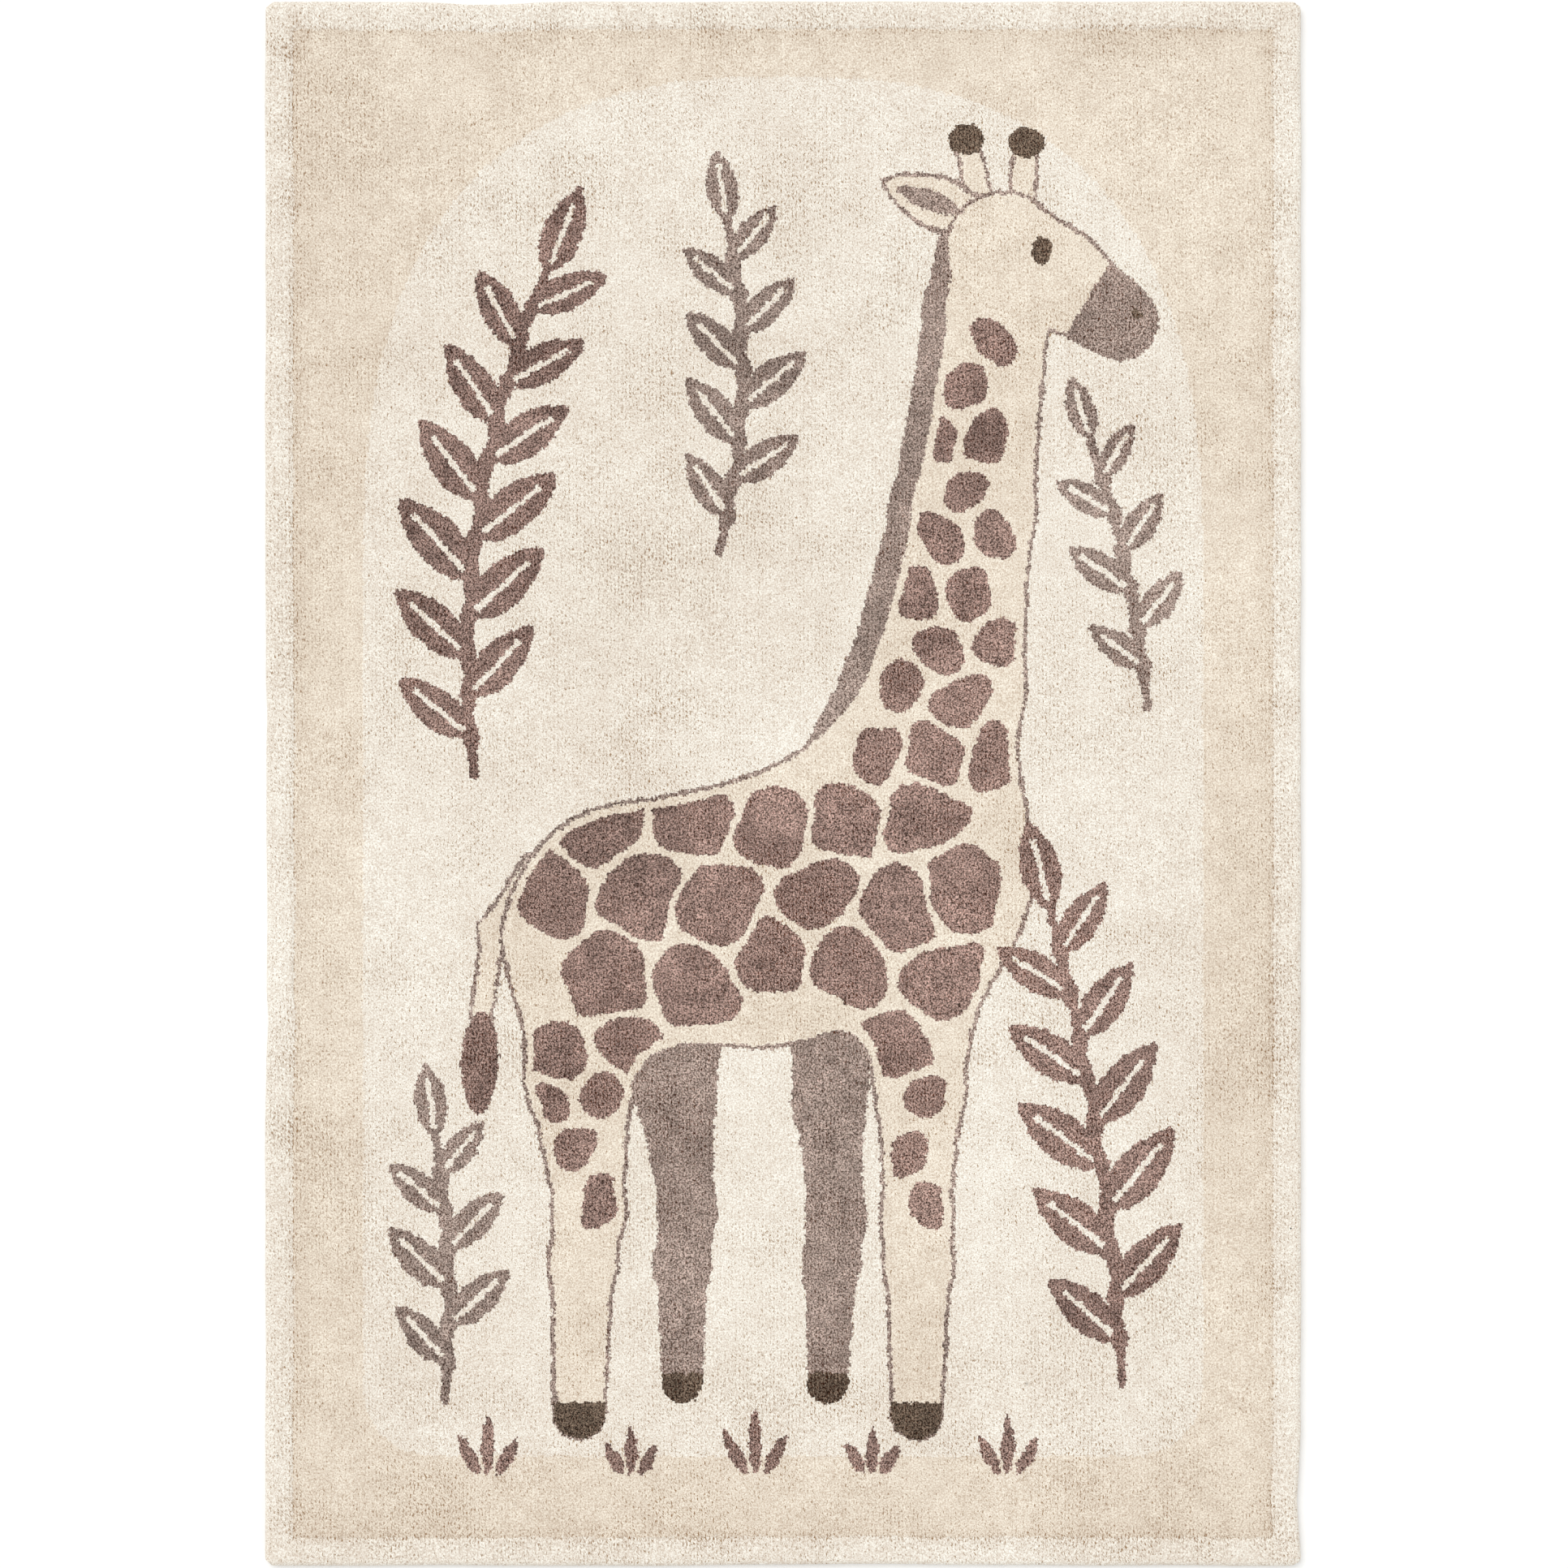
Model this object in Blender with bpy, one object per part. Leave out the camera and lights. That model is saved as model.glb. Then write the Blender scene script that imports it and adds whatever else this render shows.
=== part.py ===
"""A hand-tufted cut-pile rug for a child's room, lying flat on the floor.

Units are metres. X runs across the rug, Y along it and Z up. The origin is on the
floor, under the middle of the rug. The tufted cloth, the latex that locks the tufts
and the turned-under edge are hidden inside the pile, so the rug is one solid: a
dense block of cut yarn with a rounded rim, a flat border, a groove sheared round the
border and a softly uneven top.
"""

import math

import bmesh
import bpy

# Driving sizes.
RUG_LENGTH = 1.829
RUG_WIDTH = 1.212
BORDER_WIDTH = 0.034

# Heights above the floor.
GROUND_HEIGHT = 0.0030
BULGE_HEIGHT = 0.0085
SHOULDER_HEIGHT = 0.0120
BORDER_HEIGHT = 0.0143
FIELD_HEIGHT = 0.0137
GROOVE_DEPTH = 0.0015

# The rim's section: how far each ring lies inside the pile's outermost line.
FLOOR_INSET = 0.0060
GROUND_INSET = 0.0035
BULGE_INSET = 0.0
SHOULDER_INSET = 0.0016
CROWN_INSET = 0.0050
PLATEAU_INSET = 0.0110
GROOVE_HALF_WIDTH = 0.0040

# The top's faces inside the border.
FIELD_STEP = 0.040

# The outline is cut straight and the pile along it is uneven: it never stands out
# past the straight line, and falls short of it by a slow ripple and a few dips.
RIPPLE_DEPTH = 0.0012
RIPPLE_LENGTHS = (0.41, 0.17)
EDGE_REACH = 0.090
CORNER_PULL = 0.0022
CORNER_REACH = 0.012

# side, middle of the dip along that side, its length, its depth
EDGE_DIPS = (
    ("top", -0.350, 0.170, 0.0045),
    ("right", -0.835, 0.150, 0.0045),
    ("left", -0.130, 0.640, 0.0020),
    ("left", 0.088, 0.080, 0.0022),
    ("left", -0.275, 0.080, 0.0022),
    ("bottom", 0.120, 0.500, 0.0018),
)

# The pile lies a little higher and lower over the field.
# height, wave length across, wave length along, phase
PILE_LUMPS = (
    (0.00022, 0.31, 0.43, 0.4),
    (0.00016, 0.19, -0.23, 1.9),
    (0.00012, 0.11, 0.14, 3.1),
)

# sRGB 0.91, 0.86, 0.79 of undyed wool, as linear values.
WOOL_COLOUR = (0.807, 0.711, 0.591, 1.0)
WOOL_ROUGHNESS = 0.95

HALF_WIDTH = RUG_WIDTH / 2
HALF_LENGTH = RUG_LENGTH / 2


def clear_scene():
    """Removes every object, so that the script gives the same model each time."""
    for item in list(bpy.data.objects):
        bpy.data.objects.remove(item, do_unlink=True)


def smooth_fade(distance, reach):
    """Falls smoothly from 1 at no distance to 0 at reach."""
    share = min(max(1 - distance / reach, 0.0), 1.0)
    return share * share * (3 - 2 * share)


def section_table():
    """Distance in from the outermost line and height, from the crown to the field."""
    groove_height = (BORDER_HEIGHT + FIELD_HEIGHT) / 2 - GROOVE_DEPTH
    crown_height = (SHOULDER_HEIGHT + 2 * BORDER_HEIGHT) / 3
    return (
        (CROWN_INSET, crown_height),
        (PLATEAU_INSET, BORDER_HEIGHT),
        (BORDER_WIDTH - GROOVE_HALF_WIDTH, BORDER_HEIGHT),
        (BORDER_WIDTH, groove_height),
        (BORDER_WIDTH + GROOVE_HALF_WIDTH, FIELD_HEIGHT),
    )


def grid_lines(half_size):
    """Places of the top's lines across one direction, close together at the rim."""
    near_edge = [half_size - inset for inset, _ in section_table()]
    inner = near_edge[-1]
    count = round(2 * inner / FIELD_STEP)
    field = [-inner + 2 * inner * step / count for step in range(1, count)]
    return [-place for place in near_edge] + field + near_edge[::-1]


def top_height(distance):
    """Height of the level pile at a distance in from the outermost line."""
    for inset, height in section_table():
        if distance <= inset + 1e-6:
            return height
    return FIELD_HEIGHT


def edge_inset(side, along):
    """How far the pile falls short of the straight outline at a place along a side."""
    ripple = 0.0
    for number, wave_length in enumerate(RIPPLE_LENGTHS):
        phase = len(side) * 1.3 + number * 2.1
        ripple += 0.5 + 0.5 * math.sin(math.tau * along / wave_length + phase)
    inset = RIPPLE_DEPTH * ripple / len(RIPPLE_LENGTHS)
    for dip_side, middle, length, depth in EDGE_DIPS:
        if dip_side == side:
            inset += depth * smooth_fade(abs(along - middle), length / 2)
    return inset


def lump_height(x, y):
    """Unevenness of the pile's top."""
    height = 0.0
    for size, across, along, phase in PILE_LUMPS:
        height += size * math.sin(math.tau * (x / across + y / along) + phase)
    return height


def add_top(shape):
    """The level top: a grid whose lines follow the rim, the groove and the field."""
    lines_x = grid_lines(HALF_WIDTH)
    lines_y = grid_lines(HALF_LENGTH)
    segments_x = len(lines_x) - 1
    segments_y = len(lines_y) - 1
    grid = bmesh.ops.create_grid(
        shape, x_segments=segments_x, y_segments=segments_y, size=0.5)
    for corner in grid["verts"]:
        x = lines_x[round((corner.co.x + 0.5) * segments_x)]
        y = lines_y[round((corner.co.y + 0.5) * segments_y)]
        distance = min(HALF_WIDTH - abs(x), HALF_LENGTH - abs(y))
        corner.co = (x, y, top_height(distance))


def add_rim(shape):
    """Carries the top's edge down over the bulging pile to the floor."""
    rings = (
        (SHOULDER_INSET, SHOULDER_HEIGHT),
        (BULGE_INSET, BULGE_HEIGHT),
        (GROUND_INSET, GROUND_HEIGHT),
        (FLOOR_INSET, 0.0),
    )
    last_inset = CROWN_INSET
    for inset, height in rings:
        rim = [edge for edge in shape.edges if edge.is_boundary]
        grown = bmesh.ops.extrude_edge_only(shape, edges=rim)["geom"]
        for corner in grown:
            if not isinstance(corner, bmesh.types.BMVert):
                continue
            if abs(corner.co.x) > HALF_WIDTH - last_inset - 1e-6:
                corner.co.x = math.copysign(HALF_WIDTH - inset, corner.co.x)
            if abs(corner.co.y) > HALF_LENGTH - last_inset - 1e-6:
                corner.co.y = math.copysign(HALF_LENGTH - inset, corner.co.y)
            corner.co.z = height
        last_inset = inset


def add_underside(shape):
    """The flat face that lies on the floor."""
    rim = [edge for edge in shape.edges if edge.is_boundary]
    bmesh.ops.holes_fill(shape, edges=rim, sides=0)


def make_uneven(shape):
    """Moves the outline in by its ripple and dips, and gives the top its lumps."""
    for corner in shape.verts:
        x, y, z = corner.co
        to_side = HALF_WIDTH - abs(x)
        to_end = HALF_LENGTH - abs(y)
        side = "right" if x > 0 else "left"
        end = "top" if y > 0 else "bottom"
        pull = CORNER_PULL * smooth_fade(to_side + to_end, CORNER_REACH)
        in_x = edge_inset(side, y) * smooth_fade(to_side, EDGE_REACH) + pull
        in_y = edge_inset(end, x) * smooth_fade(to_end, EDGE_REACH) + pull
        corner.co.x = x - math.copysign(in_x, x)
        corner.co.y = y - math.copysign(in_y, y)
        corner.co.z = z + lump_height(x, y) * max(z - GROUND_HEIGHT, 0) / FIELD_HEIGHT


def centre_on_floor(shape):
    """Sets the middle of the uneven outline over the origin."""
    across = [corner.co.x for corner in shape.verts]
    along = [corner.co.y for corner in shape.verts]
    middle = ((min(across) + max(across)) / 2, (min(along) + max(along)) / 2, 0.0)
    bmesh.ops.translate(shape, verts=shape.verts, vec=[-value for value in middle])


def wool_material():
    """Dense cut wool pile, which scatters light and has no gloss."""
    material = bpy.data.materials.new("wool_pile")
    material.use_nodes = True
    shader = material.node_tree.nodes["Principled BSDF"]
    shader.inputs["Base Color"].default_value = WOOL_COLOUR
    shader.inputs["Roughness"].default_value = WOOL_ROUGHNESS
    shader.inputs["Metallic"].default_value = 0.0
    return material


def make_rug():
    """The rug as one closed solid."""
    shape = bmesh.new()
    add_top(shape)
    add_rim(shape)
    add_underside(shape)
    make_uneven(shape)
    centre_on_floor(shape)
    bmesh.ops.recalc_face_normals(shape, faces=shape.faces)
    mesh = bpy.data.meshes.new("rug")
    shape.to_mesh(mesh)
    shape.free()
    mesh.shade_smooth()
    mesh.set_sharp_from_angle(angle=math.radians(60))
    mesh.materials.append(wool_material())
    rug = bpy.data.objects.new("rug", mesh)
    bpy.context.scene.collection.objects.link(rug)
    return rug


clear_scene()
make_rug()
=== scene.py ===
"""A hand-tufted picture rug for a child's room, laid flat.

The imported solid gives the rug's outline, its rounded rim, its sheared groove and the
lie of its top. The pile is one skin over it, with a corner on each tuft and one between
each two, raised and sunk as the cut yarn ends are. Each of its faces is numbered by the
yarn that the picture asks for at its place, and the skin is cut apart by the numbers.
Under the pile lies the backing, which is the solid's form a few millimetres down. Units
are metres. X runs across the rug, Y along it to the picture's top, and Z up.
"""

import math

import bmesh
import bpy
import numpy as np
from bpy.props import FloatProperty, FloatVectorProperty, PointerProperty
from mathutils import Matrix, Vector
from mathutils.bvhtree import BVHTree


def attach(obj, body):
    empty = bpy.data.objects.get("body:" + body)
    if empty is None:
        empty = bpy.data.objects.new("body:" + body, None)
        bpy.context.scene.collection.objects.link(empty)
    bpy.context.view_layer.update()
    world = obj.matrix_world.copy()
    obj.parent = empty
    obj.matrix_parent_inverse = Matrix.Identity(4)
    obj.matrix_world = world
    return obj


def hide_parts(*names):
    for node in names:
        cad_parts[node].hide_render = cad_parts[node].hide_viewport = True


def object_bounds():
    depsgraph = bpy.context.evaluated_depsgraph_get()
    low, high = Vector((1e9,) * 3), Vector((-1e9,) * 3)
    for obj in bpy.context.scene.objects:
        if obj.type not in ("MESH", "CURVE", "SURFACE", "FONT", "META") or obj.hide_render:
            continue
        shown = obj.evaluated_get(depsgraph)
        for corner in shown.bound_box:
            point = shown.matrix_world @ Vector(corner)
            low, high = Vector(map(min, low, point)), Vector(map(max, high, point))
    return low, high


bl_info = {
    "name": "Tufted Picture Rug",
    "version": (1, 0, 0),
    "blender": (4, 5, 0),
    "location": "View3D > Sidebar > Rug",
    "description": "Plants a cut wool pile with a picture on a flat rug's solid",
    "category": "Add Mesh",
}

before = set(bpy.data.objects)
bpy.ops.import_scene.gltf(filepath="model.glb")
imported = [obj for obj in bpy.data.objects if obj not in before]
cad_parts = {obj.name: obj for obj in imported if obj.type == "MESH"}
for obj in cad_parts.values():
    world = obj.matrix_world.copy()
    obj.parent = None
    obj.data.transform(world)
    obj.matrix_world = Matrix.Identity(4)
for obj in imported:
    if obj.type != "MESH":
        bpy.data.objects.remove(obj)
CAD_LOW, CAD_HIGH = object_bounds()
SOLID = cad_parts["rug"]

# The photograph's frame and the rug in it, in its own pixels.
PHOTO_SIDE = 1932
PHOTO_RUG_LENGTH = 1931
PHOTO_RUG_MIDDLE = (965.0, 965.5)

# The yarns, by number.
IVORY, BEIGE, BROWN, TAUPE, DARK = range(5)


# ---------------------------------------------------------------- sizes and colours

def linear(code):
    """A linear colour from an sRGB hex value."""
    shares = [int(code[place:place + 2], 16) / 255 for place in (0, 2, 4)]
    return [s / 12.92 if s <= 0.04045 else ((s + 0.055) / 1.055) ** 2.4 for s in shares]


class RugSizes(bpy.types.PropertyGroup):
    """The rug's driving sizes."""

    width: FloatProperty(
        name="Width", description="Size across the rug",
        default=CAD_HIGH.x - CAD_LOW.x, unit="LENGTH")
    length: FloatProperty(
        name="Length", description="Size along the rug",
        default=CAD_HIGH.y - CAD_LOW.y, unit="LENGTH")
    border: FloatProperty(
        name="Border", description="Width of the plain border, to the groove's middle",
        default=0.034, unit="LENGTH")
    row_pitch: FloatProperty(
        name="Row pitch", description="From one row of tufts to the next",
        default=0.00445, unit="LENGTH")
    stitch_pitch: FloatProperty(
        name="Stitch pitch", description="From one tuft to the next along its row",
        default=0.00435, unit="LENGTH")
    root_depth: FloatProperty(
        name="Root depth", description="From the pile's top down to the backing",
        default=0.0042, unit="LENGTH")


class RugColours(bpy.types.PropertyGroup):
    """The five yarns and the backing cloth."""

    ivory: FloatVectorProperty(
        name="Ivory", description="Undyed yarn of the border and the panel",
        default=linear("E9E8DF"), subtype="COLOR", min=0, max=1)
    beige: FloatVectorProperty(
        name="Beige", description="Yarn of the field and the animal's coat",
        default=linear("E3DDCF"), subtype="COLOR", min=0, max=1)
    brown: FloatVectorProperty(
        name="Brown", description="Yarn of the patches and the large sprigs",
        default=linear("967D73"), subtype="COLOR", min=0, max=1)
    taupe: FloatVectorProperty(
        name="Grey-brown", description="Yarn of the muzzle, the mane and the small sprigs",
        default=linear("A08F85"), subtype="COLOR", min=0, max=1)
    dark: FloatVectorProperty(
        name="Dark", description="Yarn of the hooves, the horns and the eye",
        default=linear("6E5E50"), subtype="COLOR", min=0, max=1)
    cotton: FloatVectorProperty(
        name="Cotton", description="Unbleached backing cloth",
        default=linear("D8CDB8"), subtype="COLOR", min=0, max=1)


class RugStage(bpy.types.PropertyGroup):
    """The studio round the rug."""

    lens: FloatProperty(
        name="Lens", description="Focal length of the camera straight above, in mm",
        default=100.0)
    key_strength: FloatProperty(
        name="Key light", description="Strength of the broad light from the upper left",
        default=1.4)
    sky_strength: FloatProperty(
        name="Sky", description="Strength of the even light from all round",
        default=0.70)
    floor: FloatVectorProperty(
        name="Floor", description="Plain pale floor",
        default=linear("FBFBFA"), subtype="COLOR", min=0, max=1)


# ---------------------------------------------------------------- shapes in the plane

# A leaf is fullest before its middle, and its vein stops short of both ends.
LEAF_LEAN = 0.85
LEAF_ROUNDNESS = 0.70
VEIN_HALF_WIDTH = 0.0030
VEIN_SPAN = (0.10, 0.80)

# How far the limbs' rings run into each other, and the noise's cells each way.
RING_JOIN = 0.02
NOISE_CELLS = 512


def eased(share):
    """A smooth step from 0 to 1."""
    share = np.clip(share, 0, 1)
    return share * share * (3 - 2 * share)


def merged(one, other, reach):
    """The nearer of two distances, with the join rounded over a reach."""
    share = np.maximum(reach - np.abs(one - other), 0) / reach
    return np.minimum(one, other) - share * share * reach / 4


def from_limb(at, rings):
    """Distance to a tapered limb through rings of x, y and radius."""
    distance = None
    for (ax, ay, ar), (bx, by, br) in zip(rings, rings[1:]):
        run = np.array([bx - ax, by - ay])
        share = np.clip(((at - (ax, ay)) @ run) / (run @ run), 0, 1)
        off = at - (ax, ay) - share[:, None] * run
        here = np.hypot(off[:, 0], off[:, 1]) - (ar + share * (br - ar))
        distance = here if distance is None else merged(distance, here, RING_JOIN)
    return distance


def turned(at, centre, degrees):
    """Places along and across a direction, from a centre."""
    c = math.cos(math.radians(degrees))
    s = math.sin(math.radians(degrees))
    x = at[:, 0] - centre[0]
    y = at[:, 1] - centre[1]
    return x * c + y * s, y * c - x * s


def in_oval(at, centre, radii, degrees=0):
    """Which places lie in an oval."""
    along, across = turned(at, centre, degrees)
    return np.hypot(along / radii[0], across / radii[1]) < 1


def in_leaf(at, stalk, degrees, length, width):
    """Which places lie in a pointed leaf, and which on its middle vein."""
    along, across = turned(at, stalk, degrees)
    share = np.clip(along / length, 0, 1)
    half = width / 2 * np.sin(math.pi * share ** LEAF_LEAN) ** LEAF_ROUNDNESS
    inside = (np.abs(across) < half) & (along > 0) & (along < length)
    on_vein = (np.abs(across) < VEIN_HALF_WIDTH) & (share > VEIN_SPAN[0])
    return inside, inside & on_vein & (share < VEIN_SPAN[1])


def smooth_noise(at, size, seed):
    """Soft random values from -1 to 1 that change over about a size in metres."""
    values = np.random.default_rng(seed).uniform(-1, 1, (NOISE_CELLS, NOISE_CELLS))
    places = at / size + NOISE_CELLS / 2
    low = np.floor(places).astype(int)
    i, j = (low % NOISE_CELLS).T
    i_next, j_next = ((low + 1) % NOISE_CELLS).T
    u, v = eased(places - low).T
    near = values[i, j] * (1 - u) + values[i_next, j] * u
    far = values[i, j_next] * (1 - u) + values[i_next, j_next] * u
    return near * (1 - v) + far * v


def layered(at, layers):
    """Soft random values of several layers of weight, size and seed, added up."""
    return sum(weight * smooth_noise(at, size, seed) for weight, size, seed in layers)


# ---------------------------------------------------------------- the picture

# Each limb is a row of rings: x, y, radius.
TORSO = ((-0.175, -0.165, 0.140), (-0.020, -0.150, 0.150), (0.125, -0.110, 0.150))
NECK = ((0.130, -0.080, 0.130), (0.190, 0.110, 0.086), (0.222, 0.320, 0.066),
        (0.252, 0.560, 0.056), (0.262, 0.610, 0.060))
HEAD = ((0.258, 0.622, 0.066), (0.320, 0.590, 0.052), (0.392, 0.540, 0.041))
NEAR_LEGS = (
    ((-0.215, -0.200, 0.100), (-0.238, -0.340, 0.058), (-0.226, -0.500, 0.036),
     (-0.234, -0.560, 0.033), (-0.238, -0.735, 0.027)),
    ((0.150, -0.170, 0.090), (0.160, -0.360, 0.046), (0.156, -0.510, 0.035),
     (0.158, -0.560, 0.034), (0.156, -0.735, 0.027)),
)
FAR_LEGS = (
    ((-0.120, -0.230, 0.060), (-0.126, -0.360, 0.044), (-0.112, -0.500, 0.031),
     (-0.118, -0.560, 0.030), (-0.118, -0.700, 0.024)),
    ((0.060, -0.220, 0.060), (0.054, -0.370, 0.040), (0.062, -0.510, 0.031),
     (0.056, -0.560, 0.030), (0.052, -0.700, 0.024)),
)
TRUNK_JOIN = 0.09
LEG_JOIN = 0.05
NEAR_HOOF_TOP = -0.722
FAR_HOOF_TOP = -0.688
HOOF_SPREAD = 0.003
TAIL = ((-0.290, -0.100, 0.016), (-0.338, -0.170, 0.011), (-0.352, -0.270, 0.010))
MANE = ((0.196, 0.636, 0.015), (0.186, 0.560, 0.019), (0.150, 0.330, 0.022),
        (0.096, 0.130, 0.022), (0.020, 0.012, 0.012))
HORNS = (((0.232, 0.660), (0.214, 0.752)), ((0.276, 0.660), (0.284, 0.748)))
HORN_RADII = (0.014, 0.011)
HORN_KNOB = (0.021, 0.018)
MUZZLE_START = 0.112

# Ovals: middle, radii and turn.
TAIL_TUFT = ((-0.354, -0.325), (0.060, 0.022), 88)
NOSTRIL = ((0.412, 0.548), (0.0075, 0.0055), -30)
EYE = ((0.302, 0.622), (0.012, 0.016))

# The ear's leaves, from its contour to its inside: stalk, direction, length, width, yarn.
EAR = (
    ((0.242, 0.653), 158, 0.138, 0.068, TAUPE),
    ((0.236, 0.655), 158, 0.125, 0.056, BEIGE),
    ((0.205, 0.667), 158, 0.080, 0.024, TAUPE),
)

# The arched panel behind the animal.
PANEL_HALF_WIDTH = 0.490
PANEL_SPRING = 0.250
PANEL_ARCH = 0.575
PANEL_FULLNESS = 2.6
PANEL_BOTTOM = -0.785
PANEL_CORNER = 0.080

# The coat's patches: spacing, seed, low corner and high corner of each zone.
PATCH_ZONES = (
    (0.098, 5, (-0.36, -0.310), (0.34, 0.040)),
    (0.066, 3, (-0.02, 0.045), (0.42, 0.660)),
    (0.064, 8, (-0.34, -0.600), (0.26, -0.335)),
)
ZONE_RISE = 0.9
PATCH_SCATTER = 0.22

# Patches keep between these heights and this far in from the body's outline.
PATCHES_LOW = -0.500
PATCHES_HIGH = 0.575
PATCH_DEPTH = 0.014

# The pale net between them, their rounded corners and wavy edges, and the plain rim of
# the coat with its contour.
PATCH_GAP = 0.003
PATCH_ROUNDING = 0.008
PATCH_WAVE = 0.004
PATCH_WAVE_RATES = (83, 71)
COAT_RIM = 0.009
CONTOUR = 0.005

# foot, direction, bend, length, pairs of leaves, leaf length, yarn
SPRIGS = (
    ((-0.360, 0.010), 98, -30, 0.600, 6, 0.125, BROWN),
    ((-0.075, 0.270), 74, 26, 0.390, 4, 0.100, TAUPE),
    ((0.395, -0.700), 92, 12, 0.560, 5, 0.125, BROWN),
    ((-0.395, -0.720), 84, 14, 0.310, 3, 0.100, TAUPE),
    ((0.425, 0.090), 94, 14, 0.320, 3, 0.090, TAUPE),
)
STEM_RADIUS = 0.0052
LEAF_SPREAD = 46
LEAF_PLUMPNESS = 0.44
TIP_LEAF = 0.85

# Where along a sprig the leaves are largest, and how much smaller they get from there.
LARGEST_AT = 0.40
LEAF_TAPER = 0.45

# x, y and height of each clump of grass, then lean and share of height of its blades
GRASS = ((-0.345, -0.806, 0.070), (-0.178, -0.806, 0.056), (-0.033, -0.806, 0.078),
         (0.104, -0.806, 0.056), (0.262, -0.806, 0.070))
BLADES = ((28, 0.75), (0, 1.0), (-30, 0.70))
BLADE_WIDTH = 0.016
BLADE_STEP = 0.010


def from_body(at):
    """Distance to the animal's trunk, neck and near legs."""
    distance = merged(from_limb(at, TORSO), from_limb(at, NECK), TRUNK_JOIN)
    for leg in NEAR_LEGS:
        distance = merged(distance, from_limb(at, leg), LEG_JOIN)
    return distance


def patch_middles():
    """Middles of the coat's patches, a jittered grid in each zone."""
    middles = []
    for spacing, seed, low, high in PATCH_ZONES:
        rng = np.random.default_rng(seed)
        columns = np.arange(int((high[0] - low[0]) / spacing) + 2)
        rows = np.arange(int((high[1] - low[1]) / (ZONE_RISE * spacing)) + 1)
        column, row = np.meshgrid(columns, rows)
        x = low[0] + (column + 0.5 * (row % 2)) * spacing
        y = low[1] + ZONE_RISE * row * spacing
        zone = np.stack([x.ravel(), y.ravel()], 1)
        scatter = rng.uniform(-PATCH_SCATTER, PATCH_SCATTER, zone.shape)
        middles.append(zone + scatter * spacing)
    return np.concatenate(middles)


def in_patches(at):
    """Which places lie in a patch: cells round the middles, parted and rounded."""
    middles = patch_middles()
    rates = PATCH_WAVE_RATES
    wave = [np.sin(at[:, 1] * rates[0] + 1), np.sin(at[:, 0] * rates[1])]
    steps = (at + np.stack(wave, 1) * PATCH_WAVE)[:, None] - middles[None]
    distances = np.sqrt((steps ** 2).sum(2))
    order = np.argsort(distances, axis=1)[:, :3]
    first, second, third = np.take_along_axis(distances, order, 1).T
    to_second = np.exp((first - second) / 2 / PATCH_ROUNDING)
    to_third = np.exp((first - third) / 2 / PATCH_ROUNDING)
    edge = -np.log(to_second + to_third) * PATCH_ROUNDING
    height = middles[:, 1]
    kept = (from_body(middles) < -PATCH_DEPTH) & (height > PATCHES_LOW)
    kept &= height < PATCHES_HIGH
    return (edge > PATCH_GAP) & kept[order[:, 0]]


def in_panel(at):
    """Which places lie in the panel: an arch on straight sides, with rounded feet."""
    past = np.maximum(PANEL_BOTTOM + PANEL_CORNER - at[:, 1], 0)
    reach = PANEL_HALF_WIDTH - PANEL_CORNER
    in_feet = np.hypot(np.maximum(np.abs(at[:, 0]) - reach, 0), past) < PANEL_CORNER
    across = np.abs(at[:, 0]) / PANEL_HALF_WIDTH
    up = np.maximum(at[:, 1] - PANEL_SPRING, 0) / PANEL_ARCH
    in_arch = across ** PANEL_FULLNESS + up ** PANEL_FULLNESS < 1
    return np.where(at[:, 1] > PANEL_SPRING, in_arch, in_feet)


def outlined(distance, yarn):
    """A part of the coat with a narrow grey-brown contour round it."""
    yarn[distance < CONTOUR] = TAUPE
    yarn[distance < 0] = BEIGE


def draw_far_side(at, yarn):
    """The far legs, the tail, the ear and the horns, which the body overlaps."""
    for leg in FAR_LEGS:
        inside = from_limb(at, leg) < 0
        yarn[inside] = TAUPE
        yarn[inside & (at[:, 1] < FAR_HOOF_TOP)] = DARK
    outlined(from_limb(at, TAIL), yarn)
    yarn[in_oval(at, *TAIL_TUFT)] = BROWN
    for foot, tip in HORNS:
        rings = ((*foot, HORN_RADII[0]), (*tip, HORN_RADII[1]))
        outlined(from_limb(at, rings), yarn)
        yarn[in_oval(at, tip, HORN_KNOB)] = DARK
    for *leaf, colour in EAR:
        yarn[in_leaf(at, *leaf)[0]] = colour


def draw_body(at, yarn):
    """The mane, the coat with its patches, and the near hooves."""
    yarn[from_limb(at, MANE) < 0] = TAUPE
    body = from_body(at)
    outlined(np.minimum(body, from_limb(at, HEAD)), yarn)
    coat = np.flatnonzero(body < -COAT_RIM)
    yarn[coat[in_patches(at[coat])]] = BROWN
    for leg in NEAR_LEGS:
        yarn[(from_limb(at, leg) < HOOF_SPREAD) & (at[:, 1] < NEAR_HOOF_TOP)] = DARK


def draw_head(at, yarn):
    """The head, its muzzle, nostril and eye."""
    head = from_limb(at, HEAD) < 0
    yarn[head] = BEIGE
    run = np.subtract(HEAD[-1][:2], HEAD[0][:2])
    along, _ = turned(at, HEAD[0][:2], math.degrees(math.atan2(run[1], run[0])))
    yarn[head & (along > MUZZLE_START)] = TAUPE
    yarn[in_oval(at, *NOSTRIL)] = DARK
    yarn[in_oval(at, *EYE)] = DARK


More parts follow.
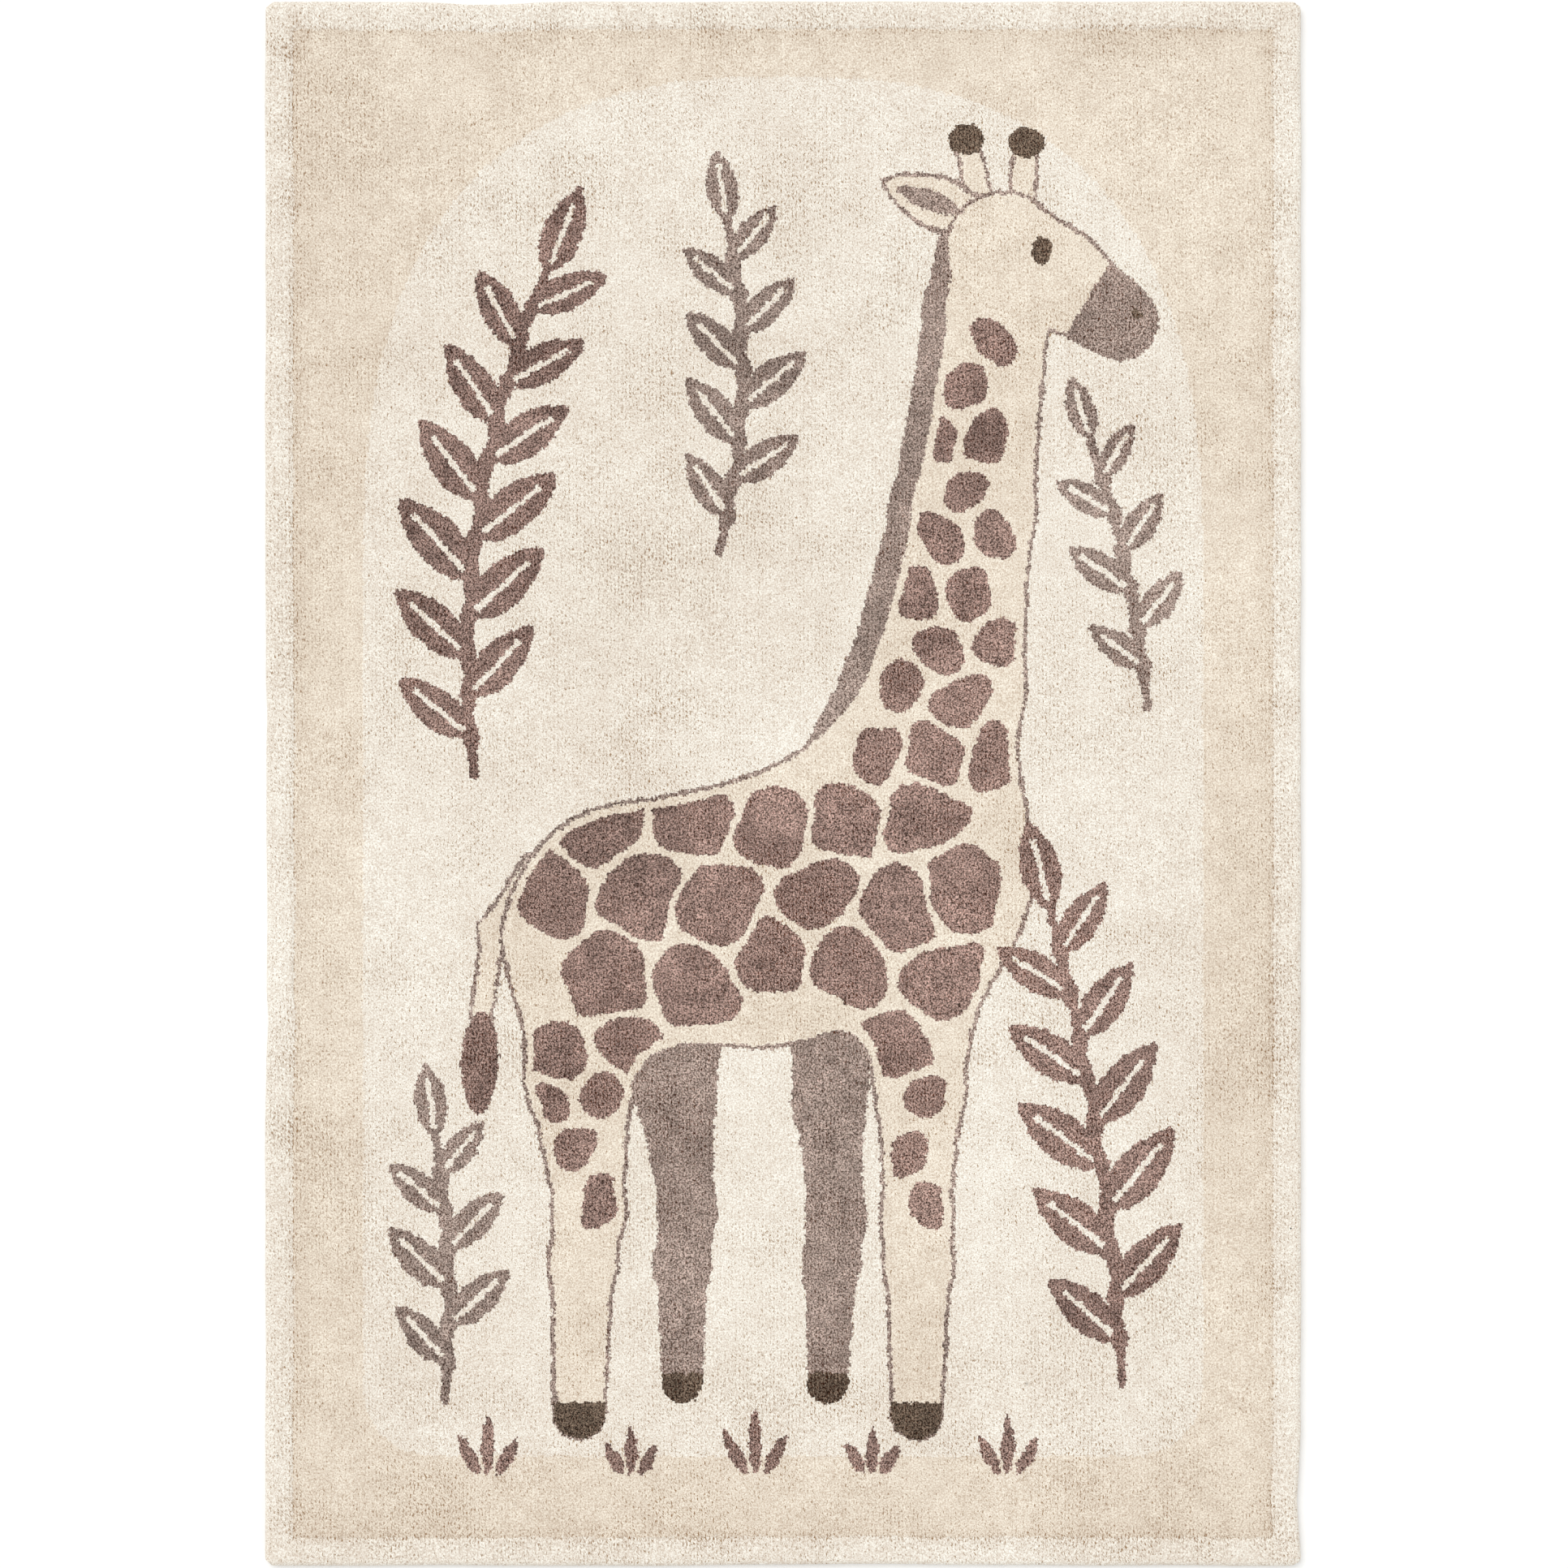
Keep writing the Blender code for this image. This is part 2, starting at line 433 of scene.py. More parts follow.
def draw_sprig(at, yarn, foot, direction, bend, length, pairs, leaf, colour):
    """A bending stem with leaves by turns on each side and one at its tip."""
    steps = 2 * pairs + 1
    x, y = foot
    stem = []
    for _ in range(steps):
        stem.append((x, y, direction))
        direction += bend / steps
        x += length / steps * math.cos(math.radians(direction))
        y += length / steps * math.sin(math.radians(direction))
    rings = [(sx, sy, STEM_RADIUS) for sx, sy, _ in stem] + [(x, y, STEM_RADIUS)]
    yarn[from_limb(at, rings) < 0] = colour
    leaves = [((x, y), direction, TIP_LEAF * leaf)]
    for number, (sx, sy, way) in enumerate(stem[1:], start=1):
        side = 1 if number % 2 else -1
        size = leaf * (1.0 - LEAF_TAPER * abs(number / steps - LARGEST_AT))
        leaves.append(((sx, sy), way + side * LEAF_SPREAD, size))
    for stalk, way, size in leaves:
        inside, vein = in_leaf(at, stalk, way, size, size * LEAF_PLUMPNESS)
        yarn[inside] = colour
        yarn[vein] = IVORY


def draw_grass(at, yarn):
    """Clumps of three short blades under the hooves."""
    for x, y, height in GRASS:
        for lean, share in BLADES:
            foot = (x - BLADE_STEP * lean / BLADES[0][0], y)
            inside, _ = in_leaf(at, foot, 90 + lean, height * share, BLADE_WIDTH)
            yarn[inside] = BROWN


def picture(at):
    """The yarn at each place of the field."""
    yarn = np.full(len(at), BEIGE)
    yarn[in_panel(at)] = IVORY
    draw_far_side(at, yarn)
    draw_body(at, yarn)
    draw_head(at, yarn)
    for sprig in SPRIGS:
        draw_sprig(at, yarn, *sprig)
    draw_grass(at, yarn)
    return yarn


# ---------------------------------------------------------------- the pile

# From the solid: how far in its top's edge lies, the height where it is widest, and how
# far in the unevenness of its outline reaches.
CROWN_INSET = 0.0050
OUTLINE_HEIGHT = 0.0085
EDGE_REACH = 0.090

# The rings of corners down the sides, by their height over the floor.
RIM_HEIGHTS = (0.0128, 0.0116, 0.0097, 0.0077, 0.0057, 0.0036, 0.0014)

# Rays start well outside the rug. A corner past this share of the grid lies on its edge.
RAY_START = 1.0
AT_EDGE = 0.4999
SHORTEST = 1e-9
MOST_CORNERS = 10 ** 7

SEED = 3

# How loosely the tufts stand, in layers of weight, size and seed.
LOOSE_LAYERS = ((0.35, 0.14, 43), (0.60, 0.045, 45))

# The relief of the cut ends under the sheared level: dips between rows and between
# tufts, and uneven ends.
ROW_GAP = 0.00022
STITCH_GAP = 0.00006
UNEVEN = 0.00011
SWELL_LAYERS = ((0.00010, 0.012, 41),)

# Slits along the rows, opening where the noise passes a start, and single pits.
SLIT_DEPTH = 0.0004
SLIT_LENGTH = 0.006
SLIT_SEED = 42
SLIT_START = 0.86
SLIT_RAMP = 0.30
PIT_DEPTH = 0.0005
PIT_SHARE = 0.010
PIT_RANGE = (0.3, 1.0)

# The sheared groove, as the pile on both sides fills it.
GROOVE_FILL = 0.0013
GROOVE_REACH = 0.0040
GROOVE_SLIT = 0.0010
GROOVE_BREAKS = ((1.6, 0.045, 44),)

# How far ends stray sideways, and how far they keep off the floor.
JITTER = 0.00050
FLOOR_GAP = 0.0004

# The yarn's tone: clouds of dye, then its rows, each yarn end's own, the field darker
# towards the groove, and the border's own tone, darker too next to the groove.
TONE_REACH = 0.20
TONE_LIMITS = (0.02, 0.98)
CLOUD_LAYERS = ((0.55, 0.230, 31), (0.35, 0.085, 32), (0.60, 0.014, 33))
ROW_TONE = 0.20
ROW_TONE_LENGTH = 0.15
ROW_TONE_SEED = 34
END_TONE = 0.28
FIELD_EDGE_TONE = -0.7
RIM_REACH = 0.026
BORDER_TONE = -0.1
BORDER_EDGE_TONE = -0.6
BLEND_REACH = 0.004

# How ragged the picture's edges and the border's edge are.
RAGGED_SIZE = 0.006
RAGGED_SEEDS = (51, 52)
PICTURE_RAGGED = 0.0016
PICTURE_STRAY = 0.0005
BORDER_RAGGED = 0.0014
BORDER_STRAY = 0.0006
BORDER_WAVE = ((0.0015, 0.030, 53),)

# The flat map over each piece, the attribute with each corner's tone, its level between
# root and tip and how easily the pile parts there, and the one with each face's piece.
MAP_NAME = "OFBake"
PILE_DATA = "pile"
PIECE_NUMBER = "piece_number"

# The relief that counts as root and as tip, and what lets the pile part: loose tufts,
# the gap beside a row and the groove. Towards the roots and where the pile parts the
# wool gets painted shade. The sides are calmer.
ROOT_LEVEL = -0.0018
TIP_LEVEL = -0.0005
LOOSE_SHARE = 0.48
ROW_SHARE = 0.8
GROOVE_SHARE = 0.5
GROOVE_BAND = 0.008
SIDE_CALM = 0.50

# piece, yarn and the number of bands across the rug that it is made in
PICTURE_PIECES = (
    ("pile_field", BEIGE, 3),
    ("pile_panel", IVORY, 3),
    ("pile_patches", BROWN, 1),
    ("pile_shades", TAUPE, 1),
    ("pile_darks", DARK, 1),
)


def solid_tree():
    """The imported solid's faces, ready for rays."""
    mesh = SOLID.data
    points = [corner.co for corner in mesh.vertices]
    faces = [tuple(face.vertices) for face in mesh.polygons]
    return BVHTree.FromPolygons(points, faces)


def cast(tree, starts, way):
    """Where rays meet the solid, with its outward normals, or NaN where they miss."""
    points = np.full((len(starts), 3), np.nan)
    normals = np.full((len(starts), 3), np.nan)
    for number, start in enumerate(starts):
        point, normal, _, _ = tree.ray_cast(start, way)
        if point is not None:
            points[number] = point
            normals[number] = normal
    return points, normals


def place_of(face):
    """A number that puts faces in the order of their corners' numbers."""
    numbers = [corner.index for corner in face.verts]
    return max(numbers) * MOST_CORNERS + min(numbers)


def skin_mesh(columns, rows):
    """A level grid with its edge let down in rings, whose z counts the rings."""
    shape = bmesh.new()
    bmesh.ops.create_grid(shape, x_segments=columns, y_segments=rows, size=0.5)
    rim = [edge for edge in shape.edges if edge.is_boundary]
    for _ in RIM_HEIGHTS:
        grown = bmesh.ops.extrude_edge_only(shape, edges=rim)["geom"]
        corners = [item for item in grown if isinstance(item, bmesh.types.BMVert)]
        bmesh.ops.translate(shape, verts=corners, vec=(0, 0, 1))
        edges = [item for item in grown if isinstance(item, bmesh.types.BMEdge)]
        rim = [edge for edge in edges if edge.is_boundary]

    # The rings' faces come in another order each time, so they are sorted.
    shape.verts.index_update()
    shape.faces.sort(key=place_of)
    mesh = bpy.data.meshes.new("skin")
    shape.to_mesh(mesh)
    shape.free()
    mesh.shade_smooth()
    return mesh


def read_skin(mesh):
    """The places of a skin's corners, and the four corners of each of its faces."""
    spots = np.empty(3 * len(mesh.vertices))
    mesh.vertices.foreach_get("co", spots)
    faces = np.empty(len(mesh.loops), dtype=int)
    mesh.loops.foreach_get("vertex_index", faces)
    return spots.reshape(-1, 3), faces.reshape(-1, 4)


def outline_shift(tree, spots, sizes, axis):
    """How far corners move in along an axis, so that the grid keeps to the outline."""
    half = (sizes.width, sizes.length)[axis] / 2
    lines = np.unique(spots[:, 1 - axis])
    span = (sizes.width, sizes.length)[1 - axis] - 2 * CROWN_INSET
    here = np.searchsorted(lines, spots[:, 1 - axis])
    place = spots[:, axis] * (2 * half - 2 * CROWN_INSET)
    shift = np.zeros(len(spots))
    for side in (-1, 1):
        starts = np.full((len(lines), 3), OUTLINE_HEIGHT)
        starts[:, axis] = side * RAY_START
        starts[:, 1 - axis] = lines * span
        way = Vector([-side * (axis == n) for n in range(3)])
        hits, _ = cast(tree, starts.tolist(), way)
        inset = half - np.abs(hits[:, axis])
        shift -= side * inset[here] * eased(1 - (half - side * place) / EDGE_REACH)
    return shift


def lay_skin(spots, sizes):
    """Places and outward normals of the skin's corners on the solid."""
    tree = solid_tree()
    ring = np.rint(spots[:, 2]).astype(int)
    points = np.zeros(spots.shape)
    points[:, 0] = spots[:, 0] * (sizes.width - 2 * CROWN_INSET)
    points[:, 1] = spots[:, 1] * (sizes.length - 2 * CROWN_INSET)
    shifts = [outline_shift(tree, spots, sizes, axis) for axis in (0, 1)]
    points[:, 0] += shifts[0]
    points[:, 1] += shifts[1]
    normals = np.zeros(spots.shape)

    top = np.flatnonzero(ring == 0)
    starts = points[top]
    starts[:, 2] = RAY_START
    hits, up = cast(tree, starts.tolist(), Vector((0, 0, -1)))
    points[top, 2] = hits[:, 2]
    normals[top] = up

    heights = np.array((0.0, *RIM_HEIGHTS))[ring]
    for axis in (0, 1):
        at_edge = np.abs(spots[:, axis]) > AT_EDGE
        for side in (-1, 1):
            chosen = np.flatnonzero((ring > 0) & at_edge & (spots[:, axis] * side > 0))
            starts = points[chosen]
            starts[:, axis] = side * RAY_START
            starts[:, 2] = heights[chosen]
            way = Vector([-side * (axis == n) for n in range(3)])
            hits, out = cast(tree, starts.tolist(), way)
            points[chosen, 2] = heights[chosen]
            found = ~np.isnan(hits[:, axis])
            points[chosen[found], axis] = hits[found, axis]
            normals[chosen[found]] += out[found]
    normals[np.isnan(normals).any(1)] = (0, 0, 1)
    lengths = np.maximum(np.linalg.norm(normals, axis=1), SHORTEST)
    return points, normals / lengths[:, None]


def unrolled(spots, columns, rows):
    """Whole numbers of column and row of each corner, counted on down the sides."""
    grid = []
    for axis, count in enumerate((columns, rows)):
        at_edge = np.abs(spots[:, axis]) > AT_EDGE
        side = np.sign(spots[:, axis]) * at_edge
        grid.append(np.rint((spots[:, axis] + 0.5) * count + side * spots[:, 2]))
    return np.stack(grid, 1).astype(int)


def from_groove(at, sizes):
    """Distance in from the groove round the field, negative in the border."""
    to_side = sizes.width / 2 - np.abs(at[:, 0])
    to_end = sizes.length / 2 - np.abs(at[:, 1])
    return np.minimum(to_side, to_end) - sizes.border


def relief(grid, at, sizes, looseness, rng):
    """Height of each corner over the sheared level: gaps between tufts, slits and pits."""
    odd = grid % 2
    height = -ROW_GAP * odd[:, 0] * (1 + looseness) - STITCH_GAP * odd[:, 1]
    height += UNEVEN * rng.normal(0, 1, len(grid))
    height += layered(at, SWELL_LAYERS)
    along = np.stack([grid[:, 0] * 1.0, at[:, 1] / SLIT_LENGTH], 1)
    open_here = smooth_noise(along, 1.0, SLIT_SEED) - SLIT_START + SLIT_RAMP * looseness
    height -= SLIT_DEPTH * eased(open_here / SLIT_RAMP) * odd[:, 0]
    pit = rng.random(len(grid)) < PIT_SHARE * (1 + looseness)
    height -= PIT_DEPTH * pit * rng.uniform(*PIT_RANGE, len(grid))

    # The pile leans over the sheared groove and leaves a narrow, broken slit.
    off = np.abs(from_groove(at, sizes))
    height += GROOVE_FILL * np.clip(1 - off / GROOVE_REACH, 0, 1)
    broken = eased(0.5 + layered(at, GROOVE_BREAKS))
    return height - GROOVE_SLIT * broken * (off < sizes.row_pitch / 4)


def tone_of(grid, at, sizes, rng):
    """Tone of the yarn from 0 to 1: clouds of dye, rows, each yarn end's own, and darker
    near the groove on both sides.
    """
    row = np.stack([grid[:, 0] // 2 * 1.0, at[:, 1] / ROW_TONE_LENGTH], 1)
    tone = layered(at, CLOUD_LAYERS) + ROW_TONE * smooth_noise(row, 1.0, ROW_TONE_SEED)
    tone += rng.normal(0, END_TONE, len(at))
    inward = from_groove(at, sizes)
    field = FIELD_EDGE_TONE * np.exp(-np.maximum(inward, 0) / RIM_REACH)
    border = BORDER_EDGE_TONE * np.exp(-np.maximum(-inward, 0) / BLEND_REACH)
    tone += np.where(inward > 0, field, BORDER_TONE + border)
    return np.clip(0.5 + TONE_REACH * tone, *TONE_LIMITS)


def piece_table():
    """Name and yarn of each piece of the pile, in the order of their numbers."""
    table = [("pile_sides", IVORY), ("pile_border", IVORY)]
    for name, yarn, bands in PICTURE_PIECES:
        table += [(f"{name}_{band + 1}", yarn) for band in range(bands)]
    return table


def piece_numbers(middle, side, sizes, rng):
    """The number of the piece that each face belongs to, from the face's middle."""
    ragged = [smooth_noise(middle, RAGGED_SIZE, seed) for seed in RAGGED_SEEDS]
    ragged = np.stack(ragged, 1)
    stray = rng.normal(0, PICTURE_STRAY, middle.shape)
    yarn = picture(middle + PICTURE_RAGGED * ragged + stray)
    numbers = np.zeros(len(middle), dtype=int)
    first = 2
    for _, chosen, bands in PICTURE_PIECES:
        band = ((middle[:, 0] / sizes.width + 0.5) * bands).astype(int)
        numbers = np.where(yarn == chosen, first + band, numbers)
        first += bands
    inward = from_groove(middle, sizes) + layered(middle, BORDER_WAVE)
    inward += BORDER_RAGGED * ragged[:, 0] + rng.normal(0, BORDER_STRAY, len(middle))
    numbers[inward < 0] = 1
    numbers[side] = 0
    return numbers


def make_skin(sizes):
    """The whole pile as one skin, with its faces numbered by piece."""
    rng = np.random.default_rng(SEED)
    columns = 2 * round(sizes.width / sizes.row_pitch)
    rows = 2 * round(sizes.length / sizes.stitch_pitch)
    mesh = skin_mesh(columns, rows)
    spots, faces = read_skin(mesh)
    points, normals = lay_skin(spots, sizes)
    grid = unrolled(spots, columns, rows)
    cell = np.array([sizes.width, sizes.length]) - 2 * CROWN_INSET
    cell /= (columns, rows)
    at = (grid - (columns / 2, rows / 2)) * cell
    looseness = layered(at, LOOSE_LAYERS)
    height = relief(grid, at, sizes, looseness, rng)
    points += normals * height[:, None]
    points += JITTER * rng.normal(0, 1, points.shape) * (1 - np.abs(normals))
    points[:, 2] = np.maximum(points[:, 2], FLOOR_GAP)
    mesh.vertices.foreach_set("co", points.ravel())

    # The level and the parting set where the wool's painted shade falls.
    level = np.clip((height - ROOT_LEVEL) / (TIP_LEVEL - ROOT_LEVEL), 0, 1)
    parted = 0.5 + LOOSE_SHARE * looseness + ROW_SHARE * (grid[:, 0] % 2 - 0.5)
    parted += GROOVE_SHARE * np.exp(-np.abs(from_groove(at, sizes)) / GROOVE_BAND)
    parted -= SIDE_CALM * (spots[:, 2] > 0)
    pile = np.stack([tone_of(grid, at, sizes, rng), level, parted], 1)
    data = mesh.attributes.new(PILE_DATA, "FLOAT_VECTOR", "POINT")
    data.data.foreach_set("vector", pile.ravel())
    layer = mesh.uv_layers.new(name=MAP_NAME)
    layer.data.foreach_set("uv", at[faces].ravel())

    numbers = piece_numbers(at[faces].mean(1), spots[faces, 2].max(1) > 0.5, sizes, rng)
    mesh.polygons.foreach_set("material_index", numbers)
    data = mesh.attributes.new(PIECE_NUMBER, "INT", "FACE")
    data.data.foreach_set("value", numbers)
    return mesh


def cut_apart(skin):
    """Cuts a skin into its pieces, by the numbers on its faces."""
    for item in bpy.context.selected_objects:
        item.select_set(False)
    bpy.context.scene.collection.objects.link(skin)
    bpy.context.view_layer.objects.active = skin
    skin.select_set(True)
    bpy.ops.object.mode_set(mode="EDIT")
    bpy.ops.mesh.select_all(action="SELECT")
    bpy.ops.mesh.separate(type="MATERIAL")
    bpy.ops.object.mode_set(mode="OBJECT")
    pieces = {}
    for piece in list(bpy.context.selected_objects):
        number = piece.data.attributes[PIECE_NUMBER]
        pieces[number.data[0].value] = piece
        piece.data.attributes.remove(number)
        piece.select_set(False)
    return pieces


def fit_map(mesh):
    """Fits a piece's map to the piece's own box."""
    layer = mesh.uv_layers[MAP_NAME]
    flat = np.empty(2 * len(mesh.loops))
    layer.data.foreach_get("uv", flat)
    flat = flat.reshape(-1, 2)
    flat = (flat - flat.min(0)) / np.ptp(flat, axis=0)
    layer.data.foreach_set("uv", flat.ravel())


def finish_piece(piece, name):
    """Names a finished piece that stands for the solid and rides with it."""
    piece.name = name
    piece.data.name = name
    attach(piece, "root")
    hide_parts("rug")


# ---------------------------------------------------------------- materials

# Where the Mix node keeps its colours.
A_COLOUR, B_COLOUR, COLOUR = 6, 7, 2

# Cut wool has no gloss and a faint soft edge of light.
WOOL_ROUGHNESS = 0.92
WOOL_SHEEN = 0.15
SHEEN_ROUGHNESS = 0.5
FIBRE_GLOSS = 0.05

# A yarn end frays into fibres far below a millimetre. They are drawn in bunches of
# 1.9 mm, the finest that shows in the render.
FIBRE_SIZE = 0.0019
FIBRE_DETAIL = 2.0
FIBRE_ROUGHNESS = 0.85
FIBRE_RELIEF = 0.00018
FIBRE_DARK = 0.39
FIBRE_PALE = 0.61

# The slits where the pile parts are a millimetre wide and about a tuft long, and lie in
# two layers, turned by degrees. They and the roots are painted shade: where it falls, a
# yarn's colour is multiplied by the pale or the dark factors below.
SLIT_SIZE = (0.0011, 0.0046, 0.0046)
SLIT_DETAIL = 1.0
SLIT_TURNS = (-6, 32)
SLIT_EDGE = (0.245, 0.355)
SLIT_SPREAD = 0.115
PALE_PAINTED_SHADE = (0.38, 0.25, 0.14)
DARK_PAINTED_SHADE = (0.20, 0.09, 0.05)

# What a deeper and a paler yarn end gain or lose in red, green and blue.
WARM = (0.0, -0.09, -0.15)
COOL = (0.0, 0.01, 0.02)

# The cloth's threads lie about a millimetre apart. They are drawn 1.6 mm apart to show.
COTTON_THREAD = 0.0016
COTTON_RELIEF = 0.0004
COTTON_ROUGHNESS = 0.88
COTTON_SHEEN = 0.10
COTTON_SHADE = 0.80

# The backing's cloth reaches up to here, and lies in from the solid's side.
WEAVE_TOP = 0.0032
CLOTH_INSET = 0.0016
WELD = 0.00001

# The grain of the floor's paper.
PAPER_GRAIN = 0.0025
PAPER_RELIEF = 0.00002

# yarn: colour, slot, material, unevenness of its dye, contrast of its flecks, how much
# more of the painted shade in its gaps shows, and the painted shade down at its roots
YARNS = {
    IVORY: ("ivory", "pile_ivory", "cut_wool_ivory", 0.14, 0.18, 0.018, PALE_PAINTED_SHADE),
    BEIGE: ("beige", "pile_beige", "cut_wool_beige", 0.21, 0.19, 0.010, PALE_PAINTED_SHADE),
    BROWN: ("brown", "pile_brown", "cut_wool_brown", 0.95, 0.90, 0.064, DARK_PAINTED_SHADE),
    TAUPE: ("taupe", "pile_taupe", "cut_wool_grey_brown", 0.80, 0.78, 0.057, DARK_PAINTED_SHADE),
    DARK: ("dark", "pile_dark", "cut_wool_dark", 0.95, 0.95, 0.070, DARK_PAINTED_SHADE),
}


def add_node(tree, kind, settings=None, values=None, links=None):
    """Adds a node with its settings, its sockets' values and its incoming links."""
    node = tree.nodes.new(kind)
    for name, value in (settings or {}).items():
        setattr(node, name, value)
    for socket, value in (values or {}).items():
        node.inputs[socket].default_value = value
    for socket, source in (links or {}).items():
        tree.links.new(source, node.inputs[socket])
    return node


def scaled(colour, factors):
    """A colour with each channel times its factor, as a socket takes it."""
    return (*(min(c * f, 1.0) for c, f in zip(colour, factors)), 1.0)


def new_material(name):
    """A material with its node tree empty."""
    material = bpy.data.materials.new(name)
    material.use_nodes = True
    material.node_tree.nodes.clear()
    return material


def finish_material(tree, colour, bump, roughness, sheen, sheen_tint):
    """The shader of matt fibres: no gloss, with the soft light edge of wool or cotton."""
    shader = add_node(
        tree, "ShaderNodeBsdfPrincipled",
        values={"Roughness": roughness, "Specular IOR Level": FIBRE_GLOSS,
                "Sheen Weight": sheen, "Sheen Roughness": SHEEN_ROUGHNESS,
                "Sheen Tint": (*sheen_tint, 1.0)},
        links={"Base Color": colour, "Normal": bump})
    add_node(tree, "ShaderNodeOutputMaterial", links={"Surface": shader.outputs["BSDF"]})


def tinted(share, tint, weight):
    """A share of white, with a weight of a tint."""
    return [share * (1 + weight * t) for t in tint]


def cut_wool(name, colour, unevenness, contrast, painted_gap_shade, painted_root_shade):
    """Cut wool yarn, sheared level: matt, flecked by pale frayed tips, with painted shade
    in the gaps where the pile parts and down at the roots.
    """
    material = new_material(name)
    tree = material.node_tree
    on_pile = add_node(tree, "ShaderNodeAttribute", {"attribute_name": PILE_DATA})
    pile = add_node(tree, "ShaderNodeSeparateXYZ", links={0: on_pile.outputs["Vector"]})
    in_space = add_node(tree, "ShaderNodeTexCoord")

    # Clouds of dye.
    dyed = add_node(
        tree, "ShaderNodeMix", {"data_type": "RGBA"},
        values={A_COLOUR: scaled(colour, tinted(1 - unevenness, WARM, 1)),
                B_COLOUR: scaled(colour, tinted(1 + unevenness, COOL, 1))},
        links={0: pile.outputs["X"]})

    # Yarn ends, each paler or darker than the next at random. The darker ends are also
    # tinted warm, which is painted shade among the fibres.
    fibre = add_node(
        tree, "ShaderNodeTexNoise",
        values={"Scale": 1 / FIBRE_SIZE, "Detail": FIBRE_DETAIL,
                "Roughness": FIBRE_ROUGHNESS},
        links={"Vector": in_space.outputs["Object"]})
    pale = add_node(
        tree, "ShaderNodeMapRange",
        values={"From Min": FIBRE_DARK, "From Max": FIBRE_PALE},
        links={"Value": fibre.outputs[0]})
    fleck = add_node(
        tree, "ShaderNodeMix", {"data_type": "RGBA"},
        values={A_COLOUR: (*tinted(1 - contrast, WARM, 1 + contrast), 1.0),
                B_COLOUR: (*tinted(1 + contrast, COOL, 1), 1.0)},
        links={0: pale.outputs[0]})
    flecked = add_node(
        tree, "ShaderNodeMix", {"data_type": "RGBA", "blend_type": "MULTIPLY"},
        values={0: 1.0},
        links={A_COLOUR: dyed.outputs[COLOUR], B_COLOUR: fleck.outputs[COLOUR]})

    # Painted shade: narrow dark slits between the rows and aslant, more of them where the
    # tufts stand loosely, and the shade painted down at the roots, where the relief sinks.
    openings = []
    for turn in SLIT_TURNS:
        stretched = add_node(
            tree, "ShaderNodeMapping", {"vector_type": "TEXTURE"},
            values={"Rotation": (0, 0, math.radians(turn)), "Scale": SLIT_SIZE},
            links={"Vector": in_space.outputs["Object"]})
        openings.append(add_node(
            tree, "ShaderNodeTexNoise", values={"Scale": 1.0, "Detail": SLIT_DETAIL},
            links={"Vector": stretched.outputs[0]}))
    deepest = add_node(
        tree, "ShaderNodeMath", {"operation": "MINIMUM"},
        links={0: openings[0].outputs[0], 1: openings[1].outputs[0]})
    loose = add_node(
        tree, "ShaderNodeMath", {"operation": "MULTIPLY_ADD"},
        values={1: -SLIT_SPREAD}, links={0: pile.outputs["Z"], 2: deepest.outputs[0]})
    slit = add_node(
        tree, "ShaderNodeMapRange", {"interpolation_type": "SMOOTHSTEP"},
        values={"From Min": SLIT_EDGE[0] - SLIT_SPREAD / 2 + painted_gap_shade,
                "From Max": SLIT_EDGE[1] - SLIT_SPREAD / 2 + painted_gap_shade},
        links={"Value": loose.outputs[0]})
    open_share = add_node(
        tree, "ShaderNodeMath", {"operation": "MULTIPLY"},
        links={0: slit.outputs[0], 1: pile.outputs["Y"]})
    shade = add_node(
        tree, "ShaderNodeMix", {"data_type": "RGBA"},
        values={A_COLOUR: (*painted_root_shade, 1.0), B_COLOUR: (1.0, 1.0, 1.0, 1.0)},
        links={0: open_share.outputs[0]})
    shaded = add_node(
        tree, "ShaderNodeMix", {"data_type": "RGBA", "blend_type": "MULTIPLY"},
        values={0: 1.0},
        links={A_COLOUR: flecked.outputs[COLOUR], B_COLOUR: shade.outputs[COLOUR]})

    relief = add_node(
        tree, "ShaderNodeBump", values={"Distance": FIBRE_RELIEF},
        links={"Height": fibre.outputs[0]})
    finish_material(
        tree, shaded.outputs[COLOUR], relief.outputs[0], WOOL_ROUGHNESS, WOOL_SHEEN, colour)
    return material


